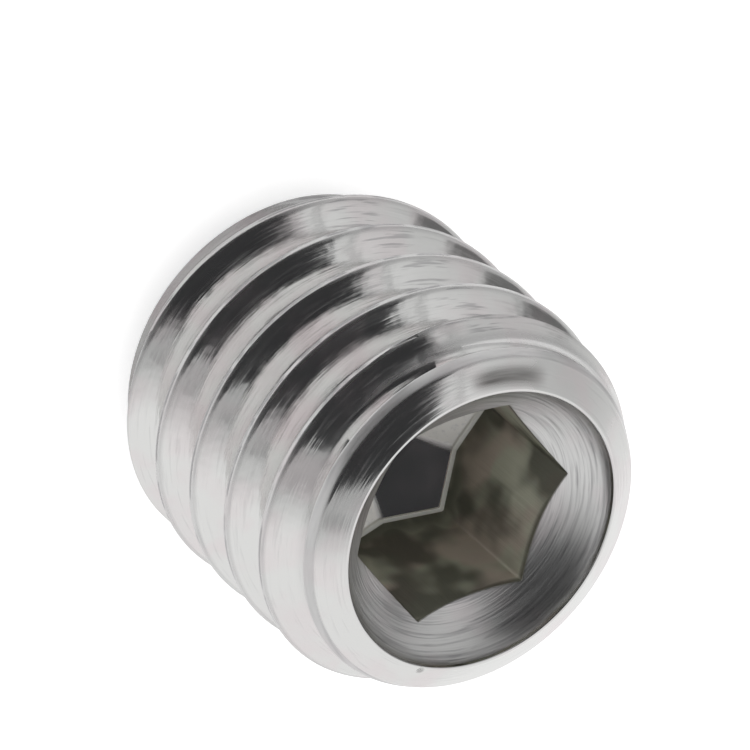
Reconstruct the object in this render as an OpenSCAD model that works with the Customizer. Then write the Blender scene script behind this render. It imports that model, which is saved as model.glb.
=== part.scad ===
// Socket set screw (grub screw) with a flat point.
// The screw stands upright on its point, with the socket end at the top and the axis on Z.
// Units are millimetres.

/* [Thread] */
// Outside diameter of the thread
thread_diameter = 6; // [5.5:0.1:8]
// Distance from one crest to the next
thread_pitch = 1; // [0.8:0.05:1.25]
// Which way the thread winds
thread_hand = "left"; // [left, right]
// Turn of the crest at the socket end, measured from a corner of the socket
thread_start = 93; // [0:1:359]

/* [Body] */
// Overall length
screw_length = 6; // [5.5:0.5:16]
// Flat at the point
point_diameter = 4; // [3.6:0.1:4.4]
// Width of the narrow flat land around the socket end
land_width = 0.04; // [0.03:0.01:0.3]
// Depth of the chamfer at the socket end
socket_chamfer = 0.37; // [0.3:0.01:0.5]
// Length of the unthreaded collar next to that chamfer
socket_collar = 0.23; // [0.05:0.01:0.3]
// Length over which the thread rises to its full height at the socket end
socket_lead = 0.25; // [0.15:0.01:0.5]
// Depth of the chamfer at the point
point_chamfer = 0.47; // [0.3:0.01:0.6]
// Length of the unthreaded collar next to that chamfer
point_collar = 0.1; // [0.05:0.01:0.3]
// Length over which the thread rises to its full height at the point
point_lead = 0.48; // [0.15:0.01:0.6]

/* [Socket] */
// Size of the key that fits, across the flats
hex_size = 3; // [2.5:0.1:3.2]
// Depth of the socket where its corners end
hex_depth = 2.83; // [2:0.05:3.4]
// Angle between opposite facets of the pyramid that closes the bottom
bottom_angle = 120; // [100:1:140]
// How far the countersink reaches past the socket's corners
countersink_lead = 0.44; // [0.2:0.01:0.55]
// Radius of the countersink's dished surface
dish_radius = 2.9; // [2.6:0.1:3.6]
// Depth of the steep lip just inside the end face
lip_depth = 0.15; // [0.05:0.01:0.25]
// How much the lip narrows, on the radius
lip_draft = 0.03; // [0.01:0.01:0.05]

/* [Hidden] */
thread_radius = thread_diameter / 2;
root_depth = 0.6134 * thread_pitch;
root_radius = thread_radius - root_depth;
root_half_width = thread_pitch / 12;
flank_angle = 30;
cutter_margin = 0.05 * thread_pitch;
hand = thread_hand == "left" ? -1 : 1;
steps_per_turn = 72;
point_radius = point_diameter / 2;
hex_corner_radius = hex_size / 2 / cos(30);
rim_radius = hex_corner_radius + countersink_lead;
lip_radius = rim_radius - lip_draft;
land_radius = rim_radius + land_width;
collar_radius = max(thread_radius - 0.3248 * thread_pitch, land_radius + 0.1);
bottom_slope = 1 / tan(bottom_angle / 2);
apex_depth = hex_depth + hex_corner_radius * bottom_slope;
over = 1;

// The blank: each end has a chamfer, a plain collar and a lead up to the full diameter
module blank() {
    top = screw_length - socket_chamfer;
    rotate_extrude()
        polygon([
            [0, 0],
            [point_radius, 0],
            [collar_radius, point_chamfer],
            [collar_radius, point_chamfer + point_collar],
            [thread_radius, point_chamfer + point_collar + point_lead],
            [thread_radius, top - socket_collar - socket_lead],
            [collar_radius, top - socket_collar],
            [collar_radius, top],
            [land_radius, screw_length],
            [0, screw_length]
        ]);
}

// The room above a chamfer's outer edge, which the groove leaves alone
module collar_room(chamfer) {
    inner = root_radius - cutter_margin;
    outer = thread_radius + 2 * cutter_margin;
    low = (collar_radius - inner) * tan(flank_angle);
    rise = (outer - inner) * tan(flank_angle);
    translate([0, 0, -chamfer - low])
        cylinder(h = rise, r1 = inner, r2 = outer);
    translate([0, 0, -chamfer - low + rise])
        cylinder(h = over, r = outer);
}

// Half the width of the groove at a given radius
function groove_half_width(r) = root_half_width + (r - root_radius) * tan(flank_angle);

// The four corners of the groove section at one step of the helix
function groove_section(step, z_centre) =
    let (
        turn = step * 360 / steps_per_turn,
        outer = thread_radius + cutter_margin,
        wide = groove_half_width(outer)
    )
    [for (c = [
        [root_radius, -root_half_width],
        [outer, -wide],
        [outer, wide],
        [root_radius, root_half_width]
    ]) [c[0] * cos(turn), c[0] * sin(turn), z_centre + c[1]]];

// The helical groove that leaves the thread standing
module thread_groove() {
    turns = ceil(screw_length / thread_pitch) + 2;
    steps = turns * steps_per_turn;
    rise = hand * thread_pitch / steps_per_turn;
    first_crest = screw_length + thread_pitch * (1 - hand * thread_start / 360);
    z_start = first_crest + thread_pitch / 2 - (hand > 0 ? turns * thread_pitch : 0);
    points = [for (i = [0:steps]) each groove_section(i, z_start + i * rise)];
    sides = [for (i = [0:steps - 1]) for (k = [0:3])
        let (a = 4 * i + k, b = 4 * i + (k + 1) % 4)
        each [[a, b, b + 4], [a, b + 4, a + 4]]];
    ends = [[3, 2, 1], [3, 1, 0],
        [4 * steps, 4 * steps + 1, 4 * steps + 2], [4 * steps, 4 * steps + 2, 4 * steps + 3]];
    polyhedron(points = points, faces = concat(sides, ends), convexity = 10);
}

// The hexagon socket. Its bottom is a pyramid with one facet towards each corner
module hex_socket() {
    bottom_corner_radius = (apex_depth + over) / bottom_slope / cos(30);
    translate([0, 0, screw_length - apex_depth])
        intersection() {
            cylinder(h = apex_depth + over, r = hex_corner_radius, $fn = 6);
            rotate([0, 0, 30])
                cylinder(h = apex_depth + over, r1 = 0, r2 = bottom_corner_radius, $fn = 6);
        }
}

// The dished countersink that leads the key in, with a steeper lip at the end face
module countersink() {
    lip_floor = screw_length - lip_depth;
    dish_rise = sqrt(dish_radius * dish_radius - lip_radius * lip_radius);
    intersection() {
        translate([0, 0, lip_floor + dish_rise])
            sphere(r = dish_radius);
        translate([0, 0, lip_floor - dish_radius])
            cylinder(h = dish_radius, r = dish_radius);
    }
    translate([0, 0, lip_floor])
        cylinder(
            h = lip_depth + over,
            r1 = lip_radius,
            r2 = lip_radius + lip_draft * (lip_depth + over) / lip_depth
        );
}

// What is cut away between the turns, with the groove running out at both collars
module thread_cut() {
    difference() {
        thread_groove();
        translate([0, 0, screw_length])
            collar_room(socket_chamfer);
        mirror([0, 0, 1])
            collar_room(point_chamfer);
    }
}

module set_screw() {
    color([0.72, 0.72, 0.7])
        difference() {
            blank();
            thread_cut();
            hex_socket();
            countersink();
        }
}

set_screw();
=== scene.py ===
import math
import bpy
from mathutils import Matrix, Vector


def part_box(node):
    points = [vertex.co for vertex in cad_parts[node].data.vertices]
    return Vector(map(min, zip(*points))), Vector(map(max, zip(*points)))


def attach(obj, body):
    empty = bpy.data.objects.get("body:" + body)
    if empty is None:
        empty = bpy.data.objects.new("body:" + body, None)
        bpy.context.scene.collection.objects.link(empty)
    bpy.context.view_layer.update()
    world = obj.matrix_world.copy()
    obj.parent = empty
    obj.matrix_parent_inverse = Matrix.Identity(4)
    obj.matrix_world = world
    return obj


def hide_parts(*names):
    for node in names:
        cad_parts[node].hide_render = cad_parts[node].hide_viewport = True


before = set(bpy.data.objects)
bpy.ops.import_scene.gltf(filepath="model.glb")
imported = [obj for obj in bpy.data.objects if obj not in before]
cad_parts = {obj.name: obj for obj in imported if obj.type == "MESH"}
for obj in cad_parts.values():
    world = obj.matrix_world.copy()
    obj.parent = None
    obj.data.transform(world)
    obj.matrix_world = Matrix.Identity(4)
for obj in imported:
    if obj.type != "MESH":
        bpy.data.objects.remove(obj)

from types import SimpleNamespace

import bpy
from mathutils import Matrix, Vector

bl_info = {
    "name": "Socket Set Screw",
    "version": (1, 0, 0),
    "blender": (4, 5, 0),
    "location": "3D View > Sidebar > Set Screw",
    "description": "Makes a socket set screw with a rolled thread, its finish and a plain studio",
    "category": "Add Mesh",
}

MM = 0.001
LOW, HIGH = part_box("set_screw")
MIDDLE = (LOW + HIGH) / 2
# Radius that a flank of a 60 degree thread gains for each step along the axis
FLANK_SLOPE = math.sqrt(3)
# How far one surface stands clear of another where the two cut each other
CLEARANCE = 0.02 * MM


# Sizes and finishes that a user would change


def distance(name, description, default):
    return bpy.props.FloatProperty(
        name=name, description=description, default=default, subtype="DISTANCE", unit="LENGTH"
    )


def bearing(name, description, default):
    return bpy.props.FloatProperty(
        name=name, description=description, default=default, subtype="ANGLE", unit="ROTATION"
    )


def fraction(name, description, default):
    return bpy.props.FloatProperty(
        name=name, description=description, default=default, subtype="FACTOR", min=0, max=1
    )


def colour_value(name, description, default):
    return bpy.props.FloatVectorProperty(
        name=name, description=description, default=default, subtype="COLOR", min=0, max=1
    )


class ScrewSizes(bpy.types.PropertyGroup):
    """Sizes of the set screw"""

    length: distance("Length", "From the flat point to the socket end", HIGH.z - LOW.z)
    thread_diameter: distance("Thread Diameter", "Over the crests", HIGH.x - LOW.x)
    thread_pitch: distance("Thread Pitch", "Distance from one crest to the next", 1.0 * MM)
    left_hand: bpy.props.BoolProperty(
        name="Left Hand",
        description="The thread winds the left-hand way",
        default=True,
    )
    thread_start: bearing(
        "Thread Start",
        "Turn of the crest at the socket end, from a corner of the socket",
        math.radians(93),
    )
    crest_flat: distance(
        "Crest Flat", "Width of the crest before its edges are rounded", 0.095 * MM
    )
    crest_round: distance("Crest Rounding", "How far the crest's edges are rounded", 0.08 * MM)
    root_depth: distance("Root Depth", "Depth of the thread on the radius", 0.6134 * MM)
    root_round: distance("Root Rounding", "How far the root is rounded", 0.12 * MM)
    point_diameter: distance("Point Diameter", "The flat at the point", 4.0 * MM)
    land_width: distance("Land Width", "Width of the narrow land around the socket end", 0.04 * MM)
    socket_chamfer: distance("Socket Chamfer", "Depth of the chamfer at the socket end", 0.37 * MM)
    edge_bevel: distance(
        "Edge Bevel", "Depth of the narrow steep bevel around that chamfer", 0.145 * MM
    )
    socket_collar: distance(
        "Socket Collar", "Length of the unthreaded collar next to that chamfer", 0.23 * MM
    )
    socket_lead: distance(
        "Socket Lead", "Length over which the thread rises at the socket end", 0.25 * MM
    )
    point_chamfer: distance("Point Chamfer", "Depth of the chamfer at the point", 0.47 * MM)
    point_collar: distance(
        "Point Collar", "Length of the unthreaded collar next to that chamfer", 0.1 * MM
    )
    point_lead: distance(
        "Point Lead", "Length over which the thread rises at the point", 0.48 * MM
    )
    key_size: distance("Key Size", "Size of the hexagon key, across the flats", 3.0 * MM)
    socket_depth: distance("Socket Depth", "Depth of the socket where its corners end", 2.83 * MM)
    bottom_angle: bearing(
        "Bottom Angle",
        "Angle between opposite facets of the pyramid that closes the socket",
        math.radians(120),
    )
    countersink_lead: distance(
        "Countersink Lead", "How far the countersink reaches past the socket's corners", 0.44 * MM
    )
    dish_radius: distance("Dish Radius", "Radius of the countersink's dished surface", 2.9 * MM)
    lip_depth: distance("Lip Depth", "Depth of the steep lip just inside the end face", 0.15 * MM)
    lip_draft: distance("Lip Draft", "How much the lip narrows, on the radius", 0.03 * MM)
    corner_round: distance("Socket Corner Radius", "Radius in the socket's six corners", 0.05 * MM)
    columns: bpy.props.IntProperty(
        name="Columns",
        description="Faces around one turn, a multiple of twelve",
        default=288,
    )
    rows: bpy.props.IntProperty(
        name="Rows",
        description="Faces along one pitch of the thread",
        default=24,
    )


class SteelFinish(bpy.types.PropertyGroup):
    """Finish of the steel"""

    colour: colour_value("Colour", "Colour of the bare steel", (0.70, 0.70, 0.69))
    tint: colour_value("Tint", "Colour of the warmer patches", (0.70, 0.668, 0.668))
    # Colour of the streaks, also used for painted shade in the grooves, in the bowl and on the
    # collar
    stain_and_shade: colour_value(
        "Stain", "Colour of the dull streaks that rolling and turning leave", (0.36, 0.355, 0.36)
    )
    soot: colour_value("Soot", "Colour of the dark smudge on the chamfer", (0.08, 0.075, 0.07))
    # Colour of a painted highlight on the two facets beside the far one
    facet_highlight: colour_value(
        "Scraped", "Colour of the facets that the broach scraped bright", (0.92, 0.9, 0.86)
    )
    socket_colour: colour_value(
        "Socket Colour", "Colour of the socket's walls, which stay dull", (0.57, 0.58, 0.47)
    )
    socket_tint: colour_value(
        "Socket Tint", "Colour of the brown patches on the socket's walls", (0.57, 0.50, 0.43)
    )
    # Dark colour of painted reflections in patches on the socket's walls, and of painted shade
    # under the bowl and towards their foot
    socket_shade_and_reflection: colour_value(
        "Socket Smudge", "Colour of the dark smudges on the socket's walls", (0.09, 0.09, 0.07)
    )
    # Colour of a painted highlight along the foot of the walls
    foot_highlight: colour_value(
        "Foot Edge", "Colour of the pale line along the foot of the walls", (0.9, 0.9, 0.86)
    )
    roughness: fraction("Roughness", "Roughness of the clean steel", 0.1)
    line_depth: distance("Line Depth", "Depth of the turning and rolling lines", 0.004 * MM)
    wave_depth: distance("Wave Depth", "Depth of the soft unevenness of the thread", 0.006 * MM)


class StudioLook(bpy.types.PropertyGroup):
    """The plain studio around the screw"""

    floor_colour: colour_value("Floor Colour", "Colour of the floor", (0.95, 0.95, 0.95))
    floor_width: distance("Floor Width", "Width of the square floor", 0.6)
    floor_lift: fraction(
        "Floor Lift", "Extra brightness that the floor shows to the eye and to metal", 0.5
    )
    light: bpy.props.FloatProperty(
        name="Light",
        description="Strength of the light tent around the screw",
        default=1.0,
        min=0,
    )
    shade: fraction(
        "Shaded Side", "How much weaker the light is on the shaded side of the tent", 0.35
    )
    front_colour: colour_value(
        "Dark Front Colour", "Colour of the cloth around the camera", (0.04, 0.04, 0.042)
    )
    front_width: distance(
        "Dark Front Width", "Width of the dark front of the tent, where the camera stands", 0.5
    )
    front_distance: distance(
        "Dark Front Distance", "Distance from the screw to the dark front of the tent", 0.09
    )


# Numbers in node trees


class Number:
    """A number inside a node tree. Arithmetic on it adds Math nodes."""

    def __init__(self, tree, source):
        self.tree = tree
        self.source = source

    def math(self, operation, *others):
        return join_numbers(self.tree, operation, self, *others)

    def __add__(self, other):
        return self.math("ADD", other)

    def __radd__(self, other):
        return self.math("ADD", other)

    def __sub__(self, other):
        return self.math("SUBTRACT", other)

    def __rsub__(self, other):
        return join_numbers(self.tree, "SUBTRACT", other, self)

    def __mul__(self, other):
        return self.math("MULTIPLY", other)

    def __rmul__(self, other):
        return self.math("MULTIPLY", other)

    def __truediv__(self, other):
        return self.math("DIVIDE", other)


def plug(tree, socket, value):
    """Puts a Number, an output socket or a plain value on an input socket"""
    if isinstance(value, Number):
        tree.links.new(value.source, socket)
    elif isinstance(value, bpy.types.NodeSocket):
        tree.links.new(value, socket)
    else:
        socket.default_value = value


def join_numbers(tree, operation, *values):
    node = tree.nodes.new("ShaderNodeMath")
    node.operation = operation
    for socket, value in zip(node.inputs, values):
        plug(tree, socket, value)
    return Number(tree, node.outputs[0])


def add_node(tree, kind, inputs=None, **settings):
    """A node with its settings and its inputs by name or by place"""
    node = tree.nodes.new(kind)
    for name, value in settings.items():
        setattr(node, name, value)
    for key, value in (inputs or {}).items():
        plug(tree, node.inputs[key], value)
    return node


def spread_nodes(tree):
    """Lays the nodes out in columns so that the tree can be read"""
    for i, node in enumerate(tree.nodes):
        node.location = (220 * (i // 8), -200 * (i % 8))


# The threaded rod: a rule in a Geometry Nodes tree


def thread_tree():
    """Cuts a blank to the shape of a threaded rod that follows its helix"""
    tree = bpy.data.node_groups.new("Thread on Blank", "GeometryNodeTree")
    face = tree.interface
    face.new_socket("Geometry", in_out="INPUT", socket_type="NodeSocketGeometry")
    for name in (
        "Length",
        "Diameter",
        "Pitch",
        "Hand",
        "Start",
        "Crest Flat",
        "Crest Rounding",
        "Root Depth",
        "Root Rounding",
        "Collar Radius",
        "Socket Chamfer",
        "Point Chamfer",
    ):
        face.new_socket(name, in_out="INPUT", socket_type="NodeSocketFloat")
    face.new_socket("Columns", in_out="INPUT", socket_type="NodeSocketInt")
    face.new_socket("Rows", in_out="INPUT", socket_type="NodeSocketInt")
    face.new_socket("Material", in_out="INPUT", socket_type="NodeSocketMaterial")
    face.new_socket("Geometry", in_out="OUTPUT", socket_type="NodeSocketGeometry")

    given = tree.nodes.new("NodeGroupInput").outputs
    length, diameter, pitch = (Number(tree, given[n]) for n in ("Length", "Diameter", "Pitch"))
    hand, start = Number(tree, given["Hand"]), Number(tree, given["Start"])
    columns, rows = Number(tree, given["Columns"]), Number(tree, given["Rows"])

    # A sheet one turn wide, with whole pitches from below the point to above the socket end
    past_ends = 0.4
    below = (length / pitch + (1 + past_ends)).math("CEIL")
    pitches = below + 2
    grid = add_node(
        tree,
        "GeometryNodeMeshGrid",
        {
            "Size X": 1.0,
            "Size Y": pitches,
            "Vertices X": columns + 1,
            "Vertices Y": pitches * rows + 1,
        },
    )
    position = tree.nodes.new("GeometryNodeInputPosition").outputs[0]
    place = add_node(tree, "ShaderNodeSeparateXYZ", {0: position})
    turn = Number(tree, place.outputs["X"]) + 0.5
    step = Number(tree, place.outputs["Y"]) + pitches / 2

    # Rows gather at the crests and the roots
    gathering = 0.45
    step = step - (step * (4 * math.pi)).math("SINE") * (gathering / (4 * math.pi))
    height = length + pitch * (hand * (turn - start / (2 * math.pi)) + step - below)
    from_crest = (step - step.math("ROUND")).math("ABSOLUTE") * pitch

    # Crest, flanks and root, with their edges rounded
    crest = diameter / 2
    root = crest - Number(tree, given["Root Depth"])
    flank = crest - (from_crest - Number(tree, given["Crest Flat"]) / 2) * FLANK_SLOPE
    radius = flank.math("SMOOTH_MAX", root, Number(tree, given["Root Rounding"]))

    # The groove runs out softly at the collar of each end
    run_out_round = 0.1 * MM
    collar = Number(tree, given["Collar Radius"])
    socket_side = height - length + Number(tree, given["Socket Chamfer"])
    point_side = Number(tree, given["Point Chamfer"]) - height
    for beyond in (socket_side, point_side):
        radius = radius.math("SMOOTH_MAX", collar + beyond * FLANK_SLOPE, run_out_round)
    radius = radius.math("SMOOTH_MIN", crest, Number(tree, given["Crest Rounding"]))

    # The sheet is closed past both ends
    spare = pitch * past_ends
    inside = height.math("GREATER_THAN", 0 - spare) * height.math("LESS_THAN", length + spare)
    height = height.math("MAXIMUM", 0 - spare).math("MINIMUM", length + spare)
    radius = radius * inside
    angle = turn * (2 * math.pi)
    spot = add_node(
        tree,
        "ShaderNodeCombineXYZ",
        {"X": radius * angle.math("COSINE"), "Y": radius * angle.math("SINE"), "Z": height},
    )
    rod = add_node(
        tree,
        "GeometryNodeSetPosition",
        {"Geometry": grid.outputs["Mesh"], "Position": spot.outputs[0]},
    )
    rod = add_node(
        tree, "GeometryNodeMergeByDistance", {"Geometry": rod.outputs[0], "Distance": 0.0002 * MM}
    )
    cut = add_node(tree, "GeometryNodeMeshBoolean", operation="INTERSECT", solver="MANIFOLD")
    joined = cut.inputs["Mesh 2"]
    tree.links.new(given["Geometry"], joined)
    tree.links.new(rod.outputs[0], joined)
    real = add_node(tree, "GeometryNodeRealizeInstances", {"Geometry": cut.outputs[0]})
    clad = add_node(
        tree,
        "GeometryNodeSetMaterial",
        {"Geometry": real.outputs[0], "Material": given["Material"]},
    )
    tree.links.new(clad.outputs[0], tree.nodes.new("NodeGroupOutput").inputs["Geometry"])
    spread_nodes(tree)
    return tree


def bake_nodes(piece, tree, values):
    """Runs a tree on a piece and keeps its result as the piece's own mesh"""
    modifier = piece.modifiers.new(tree.name, "NODES")
    modifier.node_group = tree
    for item in tree.interface.items_tree:
        if item.in_out == "INPUT" and item.name in values:
            modifier[item.identifier] = values[item.name]
    ready = piece.evaluated_get(bpy.context.evaluated_depsgraph_get())
    mesh = bpy.data.meshes.new_from_object(ready)
    if not mesh.polygons:
        raise RuntimeError("the thread tree gave no faces")
    piece.modifiers.remove(modifier)
    piece.data = mesh


# The blank: turned outline, countersink and hexagon socket


def round_corner(before, corner, after, radius, steps):
    """Points of a rounded corner on an outline"""
    back, on = before - corner, after - corner
    half = back.angle(on) / 2
    reach = min(radius / math.tan(half), 0.45 * back.length, 0.45 * on.length)
    a, b = back.normalized() * reach, on.normalized() * reach
    # A quadratic curve follows the arc closely at these small turns
    return [corner + a * (1 - i / steps) ** 2 + b * (i / steps) ** 2 for i in range(steps + 1)]


def from_nearest_corner(angle):
    """Turn from the nearest of the socket's six corners"""
    return (angle + math.pi / 6) % (math.pi / 3) - math.pi / 6


def socket_reach(angle, sizes):
    """Distance from the axis to the hexagon socket's wall, in one direction"""
    off = abs(from_nearest_corner(angle))
    flat = sizes.key_size / 2
    curve = sizes.corner_round
    centre = (flat - curve) / math.cos(math.pi / 6)
    if off < math.atan2(curve * math.sin(math.pi / 6), centre + curve * math.cos(math.pi / 6)):
        return centre * math.cos(off) + math.sqrt(curve**2 - (centre * math.sin(off)) ** 2)
    return flat / math.cos(math.pi / 6 - off)


def collar_radius(sizes):
    """The thread's pitch radius, as the blank has it before rolling"""
    return sizes.thread_diameter / 2 - 0.3248 * sizes.thread_pitch


def bevel_radius(sizes):
    """Where the narrow steep bevel meets the chamfer at the socket end"""
    return collar_radius(sizes) - 0.47 * sizes.edge_bevel


def socket_form(sizes):
    """Radii and heights that the socket's mesh and its material share"""
    corner = sizes.key_size / 2 / math.cos(math.pi / 6)
    rim = corner + sizes.countersink_lead
    lip = rim - sizes.lip_draft
    slope = 1 / math.tan(sizes.bottom_angle / 2)
    return SimpleNamespace(
        rim=rim,
        lip=lip,
        slope=slope,
        apex=sizes.length - sizes.socket_depth - corner * slope,
        dish_middle=sizes.length - sizes.lip_depth + math.sqrt(sizes.dish_radius**2 - lip**2),
    )


def blank_outline(angle, sizes):
    """The blank's outline on one side of the axis, in one direction"""
    form = socket_form(sizes)
    top = sizes.length
    wall = socket_reach(angle, sizes)
    crest = sizes.thread_diameter / 2
    body = crest + CLEARANCE
    collar = collar_radius(sizes)
    low = sizes.point_chamfer
    high = top - sizes.socket_chamfer
    past = CLEARANCE / (crest - collar)
    edge_round = 0.018 * MM
    slope = form.slope * math.cos(from_nearest_corner(angle))

    def at(radius, height):
        return Vector((radius, height))

    def dish(radius):
        return at(radius, form.dish_middle - math.sqrt(sizes.dish_radius**2 - radius**2))

    # The turned outside: each corner with the radius of its rounding
    turned = [
        (at(sizes.point_diameter / 2, 0), 0.04 * MM),
        (at(collar, low), 0.05 * MM),
        (at(collar, low + sizes.point_collar), 0.2 * MM),
        (at(body, low + sizes.point_collar + sizes.point_lead * (1 + past)), 0),
        (at(body, high - sizes.socket_collar - sizes.socket_lead * (1 + past)), 0),
        (at(collar, high - sizes.socket_collar), 0.2 * MM),
        (at(collar, high), 0.03 * MM),
        (at(bevel_radius(sizes), high + sizes.edge_bevel), 0.12 * MM),
        (at(form.rim + sizes.land_width, top), edge_round),
    ]
    rim = at(form.rim, top)
    around = [at(0, 0)] + [corner for corner, _ in turned] + [rim]
    outline = [at(0, 0)]
    for i, (corner, radius) in enumerate(turned):
        outline += round_corner(around[i], corner, around[i + 2], radius, 4) if radius else [corner]

    # The rim, whose lip rolls over into the bowl
    bowl = [dish(form.lip + (wall - form.lip) * i / 12) for i in range(13)]
    outline += round_corner(turned[-1][0], rim, bowl[0], edge_round, 3)
    brow = at(form.rim, top - 0.02 * MM)
    for i in range(7):
        outline.append(brow.lerp(bowl[0], i / 6).lerp(bowl[0].lerp(bowl[3], i / 6), i / 6))
    outline += bowl[4:-1]

    # The socket's wall and its facet of the bottom
    brink = bowl[-1]
    foot = at(wall, form.apex + wall * slope)
    tip = at(0, form.apex)
    outline += round_corner(bowl[-2], brink, foot, 0.02 * MM, 4)
    outline += [brink.lerp(foot, i / 6) for i in range(1, 6)]
    outline += round_corner(brink, foot, tip, 0.08 * MM, 4)
    outline += [at(wall * (1 - i / 8), form.apex + wall * (1 - i / 8) * slope) for i in range(1, 8)]
    outline.append(tip)
    return outline


def blank_mesh(sizes):
    """A closed mesh of the turned and broached blank, with its columns closest at the corners"""
    half = sizes.columns // 12
    crowding = 1.3
    angles = []
    for corner in range(6):
        for i in range(-half, half):
            lean = abs(i / half) ** crowding * math.copysign(1, i)
            angles.append(math.radians(60 * corner + 30 * lean))
    outlines = [blank_outline(a, sizes) for a in angles]
    verts = [(0, 0, outlines[0][0].y), (0, 0, outlines[0][-1].y)]
    for angle, outline in zip(angles, outlines):
        verts += [(p.x * math.cos(angle), p.x * math.sin(angle), p.y) for p in outline[1:-1]]
    inner = len(outlines[0]) - 2
    faces = []
    for i in range(len(angles)):
        a, b = 2 + i * inner, 2 + (i + 1) % len(angles) * inner
        faces.append((0, b, a))
        faces += [(a + k, b + k, b + k + 1, a + k + 1) for k in range(inner - 1)]
        faces.append((a + inner - 1, b + inner - 1, 1))
    mesh = bpy.data.meshes.new("set_screw")
    mesh.from_pydata(verts, [], faces)
    mesh.validate()
    return mesh


# Materials


def ease(value, low, high):
    """Rises smoothly from 0 at the low value to 1 at the high one"""
    node = add_node(
        value.tree,
        "ShaderNodeMapRange",
        {"Value": value, "From Min": low, "From Max": high},
        interpolation_type="SMOOTHSTEP",
    )
    return Number(value.tree, node.outputs["Result"])


def blend(share, low, high):
    """The low number or colour, turning into the high one as the share rises"""
    if isinstance(low, (Number, float, int)):
        node = add_node(share.tree, "ShaderNodeMix", {0: share, 2: low, 3: high})
        return Number(share.tree, node.outputs[0])
    node = add_node(share.tree, "ShaderNodeMix", {0: share, 6: low, 7: high}, data_type="RGBA")
    return node.outputs[2]


def grain(tree, place, scale, w=0.0, detail=2.0):
    """Noise around a half, finer along an axis where its scale is larger"""
    scales = scale if isinstance(scale, tuple) else (scale, scale, scale)
    stretched = add_node(tree, "ShaderNodeVectorMath", {0: place, 1: scales}, operation="MULTIPLY")
    node = add_node(
        tree,
        "ShaderNodeTexNoise",
        {"Vector": stretched.outputs[0], "W": w, "Scale": 1.0, "Detail": detail},
        noise_dimensions="4D",
    )
    return Number(tree, node.outputs[0])


def hexagon_reach(x, y):
    """Distance from the axis to a hexagon through this place, with a side towards each corner"""
    reach = 0.0
    for turn in (0, math.pi / 3, 2 * math.pi / 3):
        side = (x * math.cos(turn) + y * math.sin(turn)).math("ABSOLUTE")
        reach = side.math("MAXIMUM", reach)
    return reach


# Sides of the screw that carry a mark, in degrees around the axis from a corner of the socket
FAR_FACET = 240
SOOT_SIDE = 14
MATT_SIDE = -18
CHATTER_SIDE = 13
# Place of the nick on the rim, in millimetres
NICK = (-2.24, 0.05, 5.97)
# The bottom's facets beside the far one are shaded as leaning this way, by this share
FACET_LEAN = Vector((0.2717, 0.6080, 0.7460))
FACET_LEAN_SHARE = 0.4


def steel_places(tree, sizes):
    """The place on the screw in millimetres, and the screw's zones as shares from 0 to 1"""
    spot = add_node(tree, "ShaderNodeTexCoord").outputs["Object"]
    sized = add_node(tree, "ShaderNodeVectorMath", {0: spot, "Scale": 1 / MM}, operation="SCALE")
    place = sized.outputs[0]
    axes = add_node(tree, "ShaderNodeSeparateXYZ", {0: place}).outputs
    x, y, z = (Number(tree, axes[name]) for name in "XYZ")
    out = (x * x + y * y).math("SQRT")

    form = socket_form(sizes)
    rim = form.rim / MM
    crest = sizes.thread_diameter / 2 / MM
    top = sizes.length / MM
    chamfer_foot = top - sizes.socket_chamfer / MM
    bevel_edge = bevel_radius(sizes) / MM

    # How wide the change from one zone to the next is
    soft, thin = 0.03, 0.02

    # Inside the rim and above the point: the bowl of the countersink, the walls and the bottom
    inside = ease(out, rim, rim - thin) * ease(z, 0.5, 1.0)
    ball = (sizes.dish_radius / MM) ** 2 - out * out
    below_bowl = form.dish_middle / MM - ball.math("MAXIMUM", 0.0).math("SQRT") - z
    socket = inside * ease(below_bowl, 0.0, soft)
    above_bottom = z - hexagon_reach(x, y) * form.slope - form.apex / MM
    bottom = socket * ease(above_bottom, 0.095, 0.08)

    # Outside the rim: the chamfer with the narrow bevel around it, then the thread
    chamfer = ease(z, chamfer_foot - soft, chamfer_foot) * ease(out, rim, rim + soft)
    thread = 1 - inside - chamfer

    # Distance from the middle of the crest, along the axis
    pitch = sizes.thread_pitch / MM
    turn = y.math("ARCTAN2", x) / (2 * math.pi) - sizes.thread_start / (2 * math.pi)
    pitches = (z - top) / pitch - turn * (-1.0 if sizes.left_hand else 1.0)

    return SimpleNamespace(
        place=place,
        x=x,
        y=y,
        z=z,
        out=out,
        bowl=inside - socket,
        below_bowl=below_bowl,
        socket=socket,
        wall=socket - bottom,
        bottom=bottom,
        above_bottom=above_bottom,
        chamfer=chamfer,
        chamfer_foot=chamfer_foot,
        bevel=chamfer * ease(out, bevel_edge - thin, bevel_edge + thin / 2),
        thread=thread,
        ridge=thread * ease(out, crest - 0.07, crest - thin),
        from_crest=(pitches - pitches.math("ROUND")).math("ABSOLUTE") * pitch,
    )


def steel_patterns(tree, at):
    """Patterns on the steel, each around a half: a different w keeps two of them apart"""
    place, out = at.place, at.out
    return SimpleNamespace(
        rings=grain(tree, place, 0.9, w=out * 18, detail=3.0),
        fine_rings=grain(tree, place, 0.9, w=out * 36 + 7.0),
        streaks=grain(tree, place, 1.6, w=out * 30),
        strokes=grain(tree, place, (16.0, 16.0, 0.5), w=3.0, detail=3.0),
        waves=grain(tree, place, 2.2, w=1.0),
        patches=grain(tree, place, 1.1, w=11.0, detail=3.0),
        browning=grain(tree, place, 1.1, w=5.0),
        wall_patches=grain(tree, place, (1.1, 1.1, 0.9), w=8.0),
        breaks=grain(tree, place, 1.5, w=14.0),
    )


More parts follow.
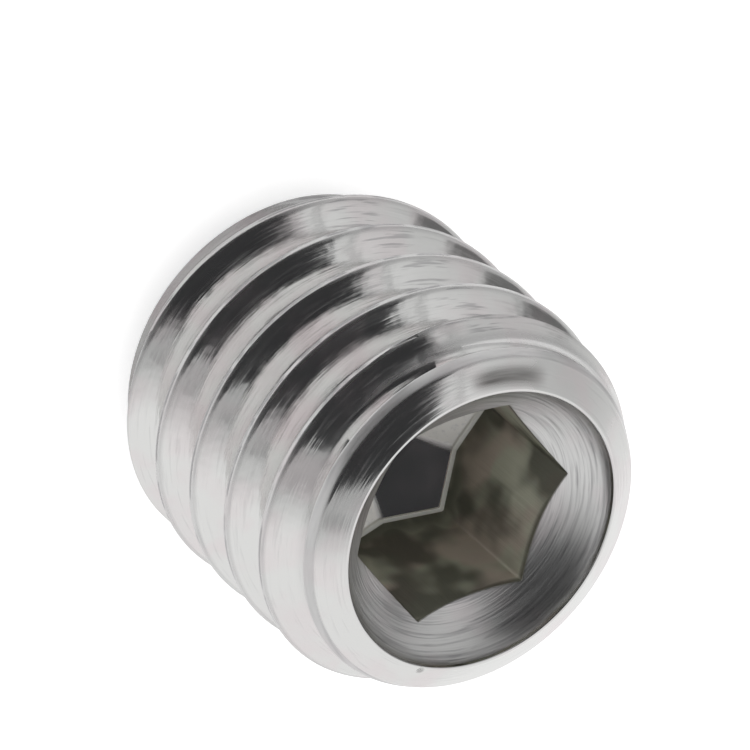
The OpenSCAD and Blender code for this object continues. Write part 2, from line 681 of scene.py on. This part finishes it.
def steel_marks(tree, at, pattern):
    """Marks of use and making, and the places of painted highlights, as shares. Lengths are in
    millimetres and angles in degrees.
    """

    def apart(side, low, high):
        """Rises as the angle from a side of the screw goes from the low value to the high one"""
        turn = math.radians(side)
        facing = (at.x * math.cos(turn) + at.y * math.sin(turn)) / at.out
        return ease(facing, math.cos(math.radians(low)), math.cos(math.radians(high)))

    off_nick = add_node(tree, "ShaderNodeVectorMath", {0: at.place, 1: NICK}, operation="DISTANCE")
    foot_line = ease(at.above_bottom, 0.11, 0.09) * ease(at.above_bottom, 0.004, 0.02)
    soot_band = ease(at.out, 2.2, 2.36) * ease(at.out, 2.58, 2.38)
    collar_start = at.chamfer_foot - 0.36
    collar_band = ease(at.z, collar_start, collar_start + 0.08) * ease(at.out, 2.63, 2.66)
    return SimpleNamespace(
        # On the bottom: the two facets beside the far one, which carry a painted highlight, its
        # edges, and the foot of the walls, with a painted highlight along it
        highlit_facets=at.bottom * apart(FAR_FACET, 28.36, 32.86) * apart(FAR_FACET, 91.15, 88.85),
        crease=at.bottom * apart(FAR_FACET, 32.33, 30.68) * apart(FAR_FACET, 26.49, 28.96),
        foot_highlight=at.socket * foot_line,
        # On the chamfer: a smudge, a matt patch and a nick at the rim
        soot=at.chamfer * apart(SOOT_SIDE, 17.25, 3.62) * soot_band,
        matt=at.chamfer * apart(MATT_SIDE, 25.84, 14.07),
        nick=ease(Number(tree, off_nick.outputs["Value"]), 0.08, 0.03),
        # On the thread: the seam that rolling leaves on the crest, chatter, and the collar, whose
        # darker colour is painted shade
        seam=at.ridge * ease(at.from_crest, 0.026, 0.012) * ease(pattern.breaks, 0.44, 0.54),
        chatter=at.thread * apart(CHATTER_SIDE, 9.6, 5.13) * ease(pattern.streaks, 0.53, 0.62),
        collar=at.thread * collar_band,
    )


def steel_colour(finish, at, pattern, mark):
    """Bare steel with warmer patches, darker streaks and marks, painted shade and painted
    highlights, and brown socket walls with painted reflections and painted shade
    """
    steel = blend(ease(pattern.patches, 0.42, 0.62), (*finish.colour, 1), (*finish.tint, 1))

    # Streaks that rolling and turning leave, darker steel on the bevel, on the crests and towards
    # the point, and painted shade deep in the grooves, in the bowl and on the collar
    dull_and_shade = ease(pattern.streaks, 0.54, 0.74) * (0.15 + at.bowl * 0.35) * (1 - at.bottom)
    # Painted shade: darker deep in the grooves
    dull_and_shade = dull_and_shade + ease(at.out, 2.62, 2.42) * at.thread * 0.3
    # Painted shade darkens the bowl, with turning rings in it
    dull_and_shade = dull_and_shade + at.bowl * (0.2 + ease(pattern.fine_rings, 0.45, 0.7) * 0.55)
    dull_and_shade = dull_and_shade + at.bevel * (0.35 + pattern.streaks * 0.4) + at.ridge * 0.35
    dull_and_shade = dull_and_shade + ease(at.z, 0.8, 0.6) * 0.6
    # The collar's darker colour here is painted shade; the seam and chatter are marks
    dull_and_shade = dull_and_shade + mark.seam * 0.6 + mark.collar * 0.35 + mark.chatter * 0.5
    steel = blend(dull_and_shade, steel, (*finish.stain_and_shade, 1))

    sooty = (mark.soot * (0.3 + pattern.rings)).math("MAXIMUM", mark.nick * 0.45)
    steel = blend(sooty, steel, (*finish.soot, 1))
    # The two facets beside the far one are painted lighter: a painted highlight, with stroke lines
    facet_highlight = mark.highlit_facets * (1 - ease(pattern.strokes, 0.5, 0.7) * 0.5)
    steel = blend(facet_highlight, steel, (*finish.facet_highlight, 1))

    # The socket's walls, with dark patches that are painted reflections, and painted shade along
    # their foot and just under the bowl
    brown = ease(pattern.browning, 0.45, 0.6)
    wall = blend(brown, (*finish.socket_colour, 1), (*finish.socket_tint, 1))
    # Dark patches on the walls: painted reflections
    darkening = ease(pattern.wall_patches, 0.43, 0.62) * 0.85
    # Painted shade, darker towards the bottom of the socket
    foot = ease(at.above_bottom, 0.9, 0.15) * ease(pattern.wall_patches, 0.3, 0.5) * 0.8
    # Painted shade in a band just under the bowl
    brink = ease(at.below_bowl, 0.16, 0.04) * 0.8
    darkening = darkening.math("MAXIMUM", brink).math("MAXIMUM", foot)
    wall = blend(darkening, wall, (*finish.socket_shade_and_reflection, 1))
    # A pale line along the foot of the walls is a painted highlight
    return blend(mark.foot_highlight, blend(at.wall, steel, wall), (*finish.foot_highlight, 1))


def steel_roughness(finish, at, pattern, mark):
    """Roughness of the steel, which is higher in the bowl, on the walls and on the marks"""
    rough = finish.roughness + ease(pattern.streaks, 0.45, 0.7) * (1 - at.bottom) * 0.08
    rough = rough + ease(pattern.patches, 0.45, 0.65) * 0.06 + at.ridge * 0.15 + at.bevel * 0.2
    rough = rough + mark.soot * 0.2 + mark.collar * 0.15 + mark.matt * 0.35
    rough = blend(at.bowl, rough, 0.28 + pattern.rings * 0.14)
    rough = blend(at.wall, rough, 0.38 + pattern.patches * 0.1)
    rougher_bottom_spots = mark.highlit_facets.math("MAXIMUM", mark.crease).math("MAXIMUM", mark.foot_highlight)
    return blend(rougher_bottom_spots, rough, 0.4)


def steel_normal(tree, finish, at, pattern, mark):
    """Relief of lines, waves, seam and nick, and the lean of two facets of the bottom"""
    lines = (pattern.rings - 0.5) * (0.3 + at.bowl * 0.9)
    lines = lines + (pattern.fine_rings - 0.5) * (0.25 + at.bowl * 0.8)
    lines = blend(at.wall, lines * (1 - at.bottom), (pattern.strokes - 0.5) * 1.5)
    waves = (pattern.waves - 0.5) * (at.thread + 0.15)
    relief = lines * (finish.line_depth / MM) + waves * (finish.wave_depth / MM)
    relief = relief - mark.seam * 0.008 - mark.nick * 0.02
    bump = add_node(tree, "ShaderNodeBump", {"Height": relief, "Distance": MM, "Strength": 1.0})
    lean = add_node(
        tree,
        "ShaderNodeMix",
        {0: mark.highlit_facets * FACET_LEAN_SHARE, 4: bump.outputs["Normal"], 5: FACET_LEAN},
        data_type="VECTOR",
    )
    unit = add_node(tree, "ShaderNodeVectorMath", {0: lean.outputs[1]}, operation="NORMALIZE")
    return unit.outputs[0]


def steel_material(finish, sizes):
    """Turned and rolled stainless steel, with a broached socket that stays dull"""
    material = bpy.data.materials.new("stainless_steel")
    material.use_nodes = True
    tree = material.node_tree
    given = tree.nodes["Principled BSDF"].inputs
    at = steel_places(tree, sizes)
    pattern = steel_patterns(tree, at)
    mark = steel_marks(tree, at, pattern)
    metallic = 1 - (at.wall * 0.45).math("MAXIMUM", mark.foot_highlight)
    plug(tree, given["Base Color"], steel_colour(finish, at, pattern, mark))
    plug(tree, given["Metallic"], metallic)
    plug(tree, given["Roughness"], steel_roughness(finish, at, pattern, mark))
    plug(tree, given["Normal"], steel_normal(tree, finish, at, pattern, mark))
    spread_nodes(tree)
    return material


# The studio

# Where the camera is, in millimetres, and its directions back from the screw and to the right
CAMERA_PLACE = (26.47, 57.60, 73.14)
CAMERA_BACK = (0.2717, 0.6080, 0.7460)
CAMERA_RIGHT = (0.3676, -0.7820, 0.5034)


def view_axes():
    """The camera's directions to the right, upwards and back from the screw"""
    back = Vector(CAMERA_BACK).normalized()
    up = back.cross(Vector(CAMERA_RIGHT)).normalized()
    return up.cross(back), up, back


def view_side(across, upward):
    """A direction that lies some degrees to the right of the camera's and some above it"""
    right, up, back = view_axes()
    turn = math.hypot(across, upward)
    side = (right * across + up * upward) / turn
    return back * math.cos(math.radians(turn)) + side * math.sin(math.radians(turn))


def flat_card(name, width):
    """A square card around the origin, facing up"""
    mesh = bpy.data.meshes.new(name)
    h = width / 2
    mesh.from_pydata([(-h, -h, 0), (h, -h, 0), (h, h, 0), (-h, h, 0)], [], [(0, 1, 2, 3)])
    card = bpy.data.objects.new(name, mesh)
    bpy.context.scene.collection.objects.link(card)
    return card


def floor_paint(look):
    """Pale paint that looks white from above and still takes the shadow"""
    paint = bpy.data.materials.new("floor_paint")
    paint.use_nodes = True
    tree = paint.node_tree
    shader = tree.nodes["Principled BSDF"]
    shader.inputs["Base Color"].default_value = (*look.floor_colour, 1)
    shader.inputs["Roughness"].default_value = 0.9
    shader.inputs["Specular IOR Level"].default_value = 0.0
    shader.inputs["Emission Color"].default_value = (1, 1, 1, 1)
    path = tree.nodes.new("ShaderNodeLightPath").outputs
    mirrored = Number(tree, path["Is Glossy Ray"]) + Number(tree, path["Is Transmission Ray"])
    mirrored_share = 0.35
    seen = Number(tree, path["Is Camera Ray"]) + mirrored * mirrored_share
    plug(tree, shader.inputs["Emission Strength"], seen * look.floor_lift)
    spread_nodes(tree)
    return paint


def angle_between(tree, direction, middle):
    """Degrees between the direction that a vector output gives and a fixed one"""
    unit = add_node(tree, "ShaderNodeVectorMath", {0: direction}, operation="NORMALIZE")
    pair = {0: unit.outputs[0], 1: middle}
    dot = add_node(tree, "ShaderNodeVectorMath", pair, operation="DOT_PRODUCT")
    return Number(tree, dot.outputs["Value"]).math("ARCCOSINE") * (180 / math.pi)


def front_cloth(look):
    """Dark cloth around the camera, thinning out towards its edge"""
    cloth = bpy.data.materials.new("front_cloth")
    cloth.use_nodes = True
    tree = cloth.node_tree
    shader = tree.nodes["Principled BSDF"]
    shader.inputs["Base Color"].default_value = (*look.front_colour, 1)
    shader.inputs["Roughness"].default_value = 1.0
    shader.inputs["Specular IOR Level"].default_value = 0.0
    spot = add_node(tree, "ShaderNodeTexCoord").outputs["Object"]
    away = add_node(tree, "ShaderNodeVectorMath", {0: spot, 1: MIDDLE}, operation="SUBTRACT")

    # Seen from the screw: a solid middle with a fold around it, a thin skirt and a bulge below
    middle = angle_between(tree, away.outputs[0], view_side(-4, 10))
    skirt = angle_between(tree, away.outputs[0], view_side(-6, -6))
    bulge = angle_between(tree, away.outputs[0], view_side(1.5, -42))
    fold = ease(middle, 46.8, 48.2) * ease(middle, 51.5, 50.0) * 0.35
    solid = ease(middle, 43.0, 41.0).math("MAXIMUM", fold)
    solid = solid.math("MAXIMUM", ease(skirt, 58.0, 30.0) * 0.5)
    solid = solid.math("MAXIMUM", ease(bulge, 8.0, 2.0) * 0.6)
    plug(tree, shader.inputs["Alpha"], solid)
    spread_nodes(tree)
    return cloth


def tent_light(look):
    """A white tent, weaker on its shaded side and with a grey opening there"""
    world = bpy.data.worlds.new("tent")
    world.use_nodes = True
    tree = world.node_tree
    light = tree.nodes["Background"]
    light.inputs["Color"].default_value = (1, 1, 1, 1)
    direction = add_node(tree, "ShaderNodeTexCoord").outputs["Generated"]
    shaded = angle_between(tree, direction, view_side(58, 69))
    opening = angle_between(tree, direction, view_side(92, 4))
    strength = (1 - ease(shaded, 75.0, 35.0) * look.shade) * (1 - ease(opening, 15.0, 9.0) * 0.75)
    plug(tree, light.inputs["Strength"], strength * look.light)
    spread_nodes(tree)
    return world


class SETSCREW_OT_make_screw(bpy.types.Operator):
    """Makes the set screw: the blank with its socket, then the thread"""

    bl_idname = "setscrew.make_screw"
    bl_label = "Make Set Screw"

    def execute(self, context):
        sizes = context.scene.screw_sizes
        steel = steel_material(context.scene.steel_finish, sizes)
        screw = bpy.data.objects.new("set_screw_steel", blank_mesh(sizes))
        context.scene.collection.objects.link(screw)
        bake_nodes(
            screw,
            thread_tree(),
            {
                "Length": sizes.length,
                "Diameter": sizes.thread_diameter,
                "Pitch": sizes.thread_pitch,
                "Hand": -1.0 if sizes.left_hand else 1.0,
                "Start": sizes.thread_start,
                "Crest Flat": sizes.crest_flat,
                "Crest Rounding": sizes.crest_round,
                "Root Depth": sizes.root_depth,
                "Root Rounding": sizes.root_round,
                "Collar Radius": collar_radius(sizes),
                "Socket Chamfer": sizes.socket_chamfer + CLEARANCE,
                "Point Chamfer": sizes.point_chamfer + CLEARANCE,
                "Columns": sizes.columns,
                "Rows": sizes.rows,
                "Material": steel,
            },
        )
        screw.data.shade_smooth()
        screw.data.set_sharp_from_angle(angle=math.radians(38))
        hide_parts("set_screw")
        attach(screw, "root")
        return {"FINISHED"}


class SETSCREW_OT_set_stage(bpy.types.Operator):
    """Makes the floor, the light and the camera"""

    bl_idname = "setscrew.set_stage"
    bl_label = "Set the Stage"

    def execute(self, context):
        scene = context.scene
        look = scene.studio_look

        floor = flat_card("floor", look.floor_width)
        floor.data.materials.append(floor_paint(look))

        front = flat_card("dark_front", look.front_width)
        front.data.materials.append(front_cloth(look))
        right, up, towards = view_axes()
        front.data.transform(
            Matrix.Translation(MIDDLE + towards * look.front_distance)
            @ towards.to_track_quat("Z", "Y").to_matrix().to_4x4()
        )
        front.visible_camera = False
        front.visible_diffuse = False
        front.visible_shadow = False

        scene.world = tent_light(look)

        data = bpy.data.cameras.new("camera")
        data.sensor_width = 36
        data.lens = 315.9
        data.clip_start = 0.005
        data.clip_end = 5
        camera = bpy.data.objects.new("camera", data)
        scene.collection.objects.link(camera)
        turn = Matrix((right, up, towards)).transposed().to_4x4()
        camera.matrix_world = Matrix.Translation(Vector(CAMERA_PLACE) * MM) @ turn
        scene.camera = camera
        scene.view_settings.view_transform = "Standard"
        return {"FINISHED"}


class SETSCREW_PT_panel(bpy.types.Panel):
    """Sizes, finish and steps of the set screw"""

    bl_label = "Set Screw"
    bl_idname = "SETSCREW_PT_panel"
    bl_space_type = "VIEW_3D"
    bl_region_type = "UI"
    bl_category = "Set Screw"

    def draw(self, context):
        layout = self.layout
        scene = context.scene
        for group in (scene.screw_sizes, scene.steel_finish, scene.studio_look):
            box = layout.box()
            for name in group.bl_rna.properties.keys():
                if name not in ("rna_type", "name"):
                    box.prop(group, name)
        for operator in (SETSCREW_OT_make_screw, SETSCREW_OT_set_stage):
            layout.operator(operator.bl_idname)


CLASSES = (
    ScrewSizes,
    SteelFinish,
    StudioLook,
    SETSCREW_OT_make_screw,
    SETSCREW_OT_set_stage,
    SETSCREW_PT_panel,
)


def register():
    for item in CLASSES:
        bpy.utils.register_class(item)
    bpy.types.Scene.screw_sizes = bpy.props.PointerProperty(type=ScrewSizes)
    bpy.types.Scene.steel_finish = bpy.props.PointerProperty(type=SteelFinish)
    bpy.types.Scene.studio_look = bpy.props.PointerProperty(type=StudioLook)


def unregister():
    del bpy.types.Scene.studio_look
    del bpy.types.Scene.steel_finish
    del bpy.types.Scene.screw_sizes
    for item in reversed(CLASSES):
        bpy.utils.unregister_class(item)


def main():
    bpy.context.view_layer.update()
    register()
    bpy.ops.setscrew.make_screw()
    bpy.ops.setscrew.set_stage()


if __name__ == "__main__":
    main()
